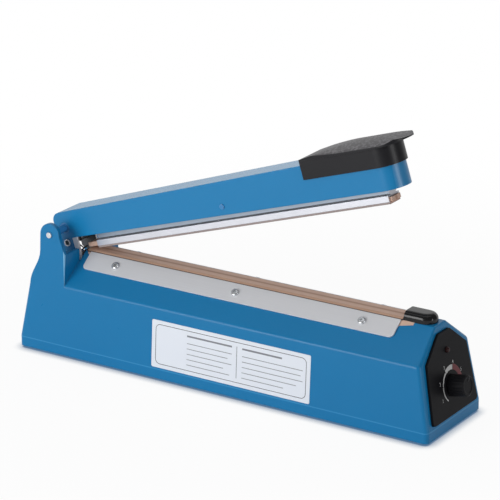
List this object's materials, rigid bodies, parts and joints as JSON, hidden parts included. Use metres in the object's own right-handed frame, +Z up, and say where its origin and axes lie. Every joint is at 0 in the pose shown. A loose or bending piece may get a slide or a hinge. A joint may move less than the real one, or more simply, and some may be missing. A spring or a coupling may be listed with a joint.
{
  "type": "impulse sealer",
  "caption": "Hand impulse bag sealer: wedge-sided housing with a heated ridge, a hinged pressing arm with a floating bar and a grip, and a timer knob and lamp on one end.",
  "frame": {"origin": "bottom centre of the bounding box, on the plane the feet stand on", "axes": "+X along the housing towards the control panel and the arm's handle, -Y towards the front with the label, +Z up; the rest pose has the arm open on its stop"},
  "size_m": [0.4132, 0.087, 0.2354],
  "materials": {
    "housing_blue": "satin moulded plastic",
    "black_plastic": "fine matt texture",
    "grey_grip": "pebbled grip texture",
    "gloss_black": "glossy moulding",
    "sheet_steel": "brushed sheet",
    "bright_steel": "plated",
    "blue_pin": "painted head",
    "alloy": "extruded bar",
    "core_steel": "stacked sheet",
    "winding": "enamelled copper winding",
    "brass": "turned brass",
    "nichrome": "flat heating ribbon",
    "release_fabric": "coated glass cloth",
    "silicone": "soft silicone",
    "foot_rubber": "matt rubber",
    "board_green": "circuit board",
    "capacitor_sleeve": "plastic sleeve",
    "wire_red": "silicone insulation",
    "lamp_red": "tinted lens",
    "button_red": "moulded button",
    "label_white": "laminated label, blank"
  },
  "bodies": {
    "base": {"body_shell": "housing_blue", "base_plate": "sheet_steel", "rubber_feet": "foot_rubber", "base_screws": "bright_steel", "label_plate": "label_white", "hinge_pin": "bright_steel", "pin_spacers": "blue_pin", "heater_bar": "alloy", "insulating_tape": "release_fabric", "heating_ribbon": "nichrome", "release_cloth": "release_fabric", "front_clamp_plate": "sheet_steel", "rear_clamp_plate": "sheet_steel", "clamp_screws": "bright_steel", "terminal_cap": "gloss_black", "left_terminal": "brass", "right_terminal": "brass", "terminal_screws": "bright_steel", "transformer_core": "core_steel", "transformer_coil": "winding", "transformer_strap": "sheet_steel", "transformer_bolts": "bright_steel", "transformer_nuts": "bright_steel", "left_heater_lead": "wire_red", "right_heater_lead": "wire_red", "control_panel": "black_plastic", "indicator_lamp": "lamp_red", "pot_body": "bright_steel", "pot_nut": "bright_steel", "timer_board": "board_green", "board_relay": "black_plastic", "board_capacitors": "capacitor_sleeve", "board_heat_sink": "alloy", "cord_gland": "black_plastic", "micro_switch": "black_plastic", "switch_bracket": "sheet_steel", "switch_screws": "bright_steel", "anchor_pin": "bright_steel", "return_spring": "bright_steel"},
    "arm": {"arm_shell": "housing_blue", "hinge_bracket": "sheet_steel", "pivot_sleeve": "brass", "spring_pin": "bright_steel", "bracket_screws": "bright_steel", "handle_skirt": "black_plastic", "grip_pad": "grey_grip", "handle_screws": "bright_steel", "float_pin": "blue_pin", "float_springs": "bright_steel"},
    "press_bar": {"press_profile": "alloy", "press_core": "silicone", "pressure_pad": "silicone", "pad_cover": "release_fabric"},
    "timer": {"timer_knob": "black_plastic", "pot_shaft": "bright_steel"},
    "switch_button": {"switch_plunger": "button_red"}
  },
  "joints": [
    {"name": "arm_hinge", "type": "hinge", "parent": "base", "child": "arm", "pos_m": [-0.17562, 0, 0.105], "axis": [0, 1, 0], "range_deg": [0, 17.4], "stiffness_Nm_per_rad": 0.9, "springref_deg": -42.97, "deforming": ["return_spring"]},
    {"name": "press_bar_float", "type": "slide", "parent": "arm", "child": "press_bar", "axis": [-0.299, 0, 0.9542], "range_m": [0, 0.00601], "deforming": ["float_springs"]},
    {"name": "timer_turn", "type": "hinge", "parent": "base", "child": "timer", "pos_m": [0.18864, 0, 0.03606], "axis": [-0.9833, 0, -0.1822], "range_deg": [-165, 105]},
    {"name": "switch_press", "type": "slide", "parent": "base", "child": "switch_button", "axis": [0, 0, -1], "range_m": [0, 0.00101]}
  ],
  "couplings": [
    {"joint": "press_bar_float", "follows": "arm_hinge", "m_per_rad": 0.019757},
    {"joint": "switch_press", "follows": "arm_hinge", "m_per_rad": 0.0032929}
  ]
}
